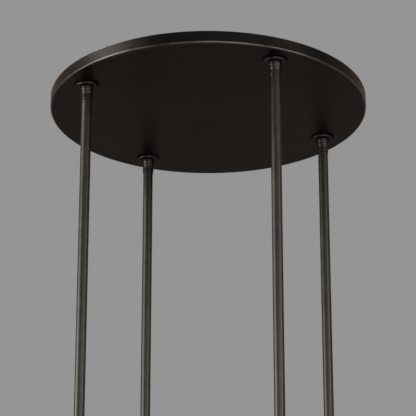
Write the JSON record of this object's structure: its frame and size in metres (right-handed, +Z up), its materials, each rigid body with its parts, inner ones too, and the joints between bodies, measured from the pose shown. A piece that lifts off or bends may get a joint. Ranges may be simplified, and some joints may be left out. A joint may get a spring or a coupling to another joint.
{
  "type": "ceiling canopy with drop stems",
  "caption": "Round low ceiling canopy of a hanging lamp: a shallow dark bronze pan over a cross bracket, with long hollow drop stems on ball swivels and a threaded foot on each.",
  "frame": {"origin": "middle of the bracket face that meets the ceiling", "axes": "+Z up into the ceiling; -Y is the front; the stems stand on the diagonals between X and Y"},
  "size_m": [0.508, 0.508, 0.6769],
  "materials": {
    "bronze_pan": "satin blackened bronze, spun",
    "bronze_tube": "satin blackened bronze, drawn",
    "bronze_fitting": "satin blackened bronze, turned",
    "zinc_steel": "zinc plated",
    "raw_brass": "turned, unlacquered",
    "seat_bronze": "bearing bronze",
    "nylon": "moulded",
    "black_rubber": "moulded",
    "block_plastic": "moulded"
  },
  "bodies": {
    "ceiling_set": {"mounting_bracket": "zinc_steel", "canopy_pan": "bronze_pan", "wire_grommet": "black_rubber", "terminal_block": "block_plastic", "earth_screw": "raw_brass", "seat_ring_back_right": "bronze_fitting", "swivel_cup_back_right": "bronze_fitting", "stem_nipple_back_right": "raw_brass", "lock_nut_back_right": "zinc_steel", "lock_washer_back_right": "zinc_steel", "upper_seat_back_right": "nylon", "seat_ring_back_left": "bronze_fitting", "swivel_cup_back_left": "bronze_fitting", "stem_nipple_back_left": "raw_brass", "lock_nut_back_left": "zinc_steel", "lock_washer_back_left": "zinc_steel", "upper_seat_back_left": "nylon", "seat_ring_front_left": "bronze_fitting", "swivel_cup_front_left": "bronze_fitting", "stem_nipple_front_left": "raw_brass", "lock_nut_front_left": "zinc_steel", "lock_washer_front_left": "zinc_steel", "upper_seat_front_left": "nylon", "seat_ring_front_right": "bronze_fitting", "swivel_cup_front_right": "bronze_fitting", "stem_nipple_front_right": "raw_brass", "lock_nut_front_right": "zinc_steel", "lock_washer_front_right": "zinc_steel", "upper_seat_front_right": "nylon"},
    "swivel_seat_back_right": {"lower_seat_back_right": "seat_bronze"},
    "drop_back_right": {"ball_stud_back_right": "raw_brass", "stem_coupler_back_right": "bronze_fitting", "stem_tube_back_right": "bronze_tube", "stem_foot_back_right": "raw_brass", "foot_washer_back_right": "zinc_steel", "foot_nut_back_right": "zinc_steel"},
    "swivel_seat_back_left": {"lower_seat_back_left": "seat_bronze"},
    "drop_back_left": {"ball_stud_back_left": "raw_brass", "stem_coupler_back_left": "bronze_fitting", "stem_tube_back_left": "bronze_tube", "stem_foot_back_left": "raw_brass", "foot_washer_back_left": "zinc_steel", "foot_nut_back_left": "zinc_steel"},
    "swivel_seat_front_left": {"lower_seat_front_left": "seat_bronze"},
    "drop_front_left": {"ball_stud_front_left": "raw_brass", "stem_coupler_front_left": "bronze_fitting", "stem_tube_front_left": "bronze_tube", "stem_foot_front_left": "raw_brass", "foot_washer_front_left": "zinc_steel", "foot_nut_front_left": "zinc_steel"},
    "swivel_seat_front_right": {"lower_seat_front_right": "seat_bronze"},
    "drop_front_right": {"ball_stud_front_right": "raw_brass", "stem_coupler_front_right": "bronze_fitting", "stem_tube_front_right": "bronze_tube", "stem_foot_front_right": "raw_brass", "foot_washer_front_right": "zinc_steel", "foot_nut_front_right": "zinc_steel"}
  },
  "joints": [
    {"name": "swing_fore_aft_back_right", "type": "hinge", "parent": "ceiling_set", "child": "swivel_seat_back_right", "pos_m": [0.15238, 0.15238, -0.02608], "axis": [1, 0, 0], "range_deg": [-7, 7]},
    {"name": "swing_sideways_back_right", "type": "hinge", "parent": "swivel_seat_back_right", "child": "drop_back_right", "pos_m": [0.15238, 0.15238, -0.02608], "axis": [0, 1, 0], "range_deg": [-7, 7]},
    {"name": "swing_fore_aft_back_left", "type": "hinge", "parent": "ceiling_set", "child": "swivel_seat_back_left", "pos_m": [-0.15238, 0.15238, -0.02608], "axis": [1, 0, 0], "range_deg": [-7, 7]},
    {"name": "swing_sideways_back_left", "type": "hinge", "parent": "swivel_seat_back_left", "child": "drop_back_left", "pos_m": [-0.15238, 0.15238, -0.02608], "axis": [0, 1, 0], "range_deg": [-7, 7]},
    {"name": "swing_fore_aft_front_left", "type": "hinge", "parent": "ceiling_set", "child": "swivel_seat_front_left", "pos_m": [-0.15238, -0.15238, -0.02608], "axis": [1, 0, 0], "range_deg": [-7, 7]},
    {"name": "swing_sideways_front_left", "type": "hinge", "parent": "swivel_seat_front_left", "child": "drop_front_left", "pos_m": [-0.15238, -0.15238, -0.02608], "axis": [0, 1, 0], "range_deg": [-7, 7]},
    {"name": "swing_fore_aft_front_right", "type": "hinge", "parent": "ceiling_set", "child": "swivel_seat_front_right", "pos_m": [0.15238, -0.15238, -0.02608], "axis": [1, 0, 0], "range_deg": [-7, 7]},
    {"name": "swing_sideways_front_right", "type": "hinge", "parent": "swivel_seat_front_right", "child": "drop_front_right", "pos_m": [0.15238, -0.15238, -0.02608], "axis": [0, 1, 0], "range_deg": [-7, 7]}
  ]
}
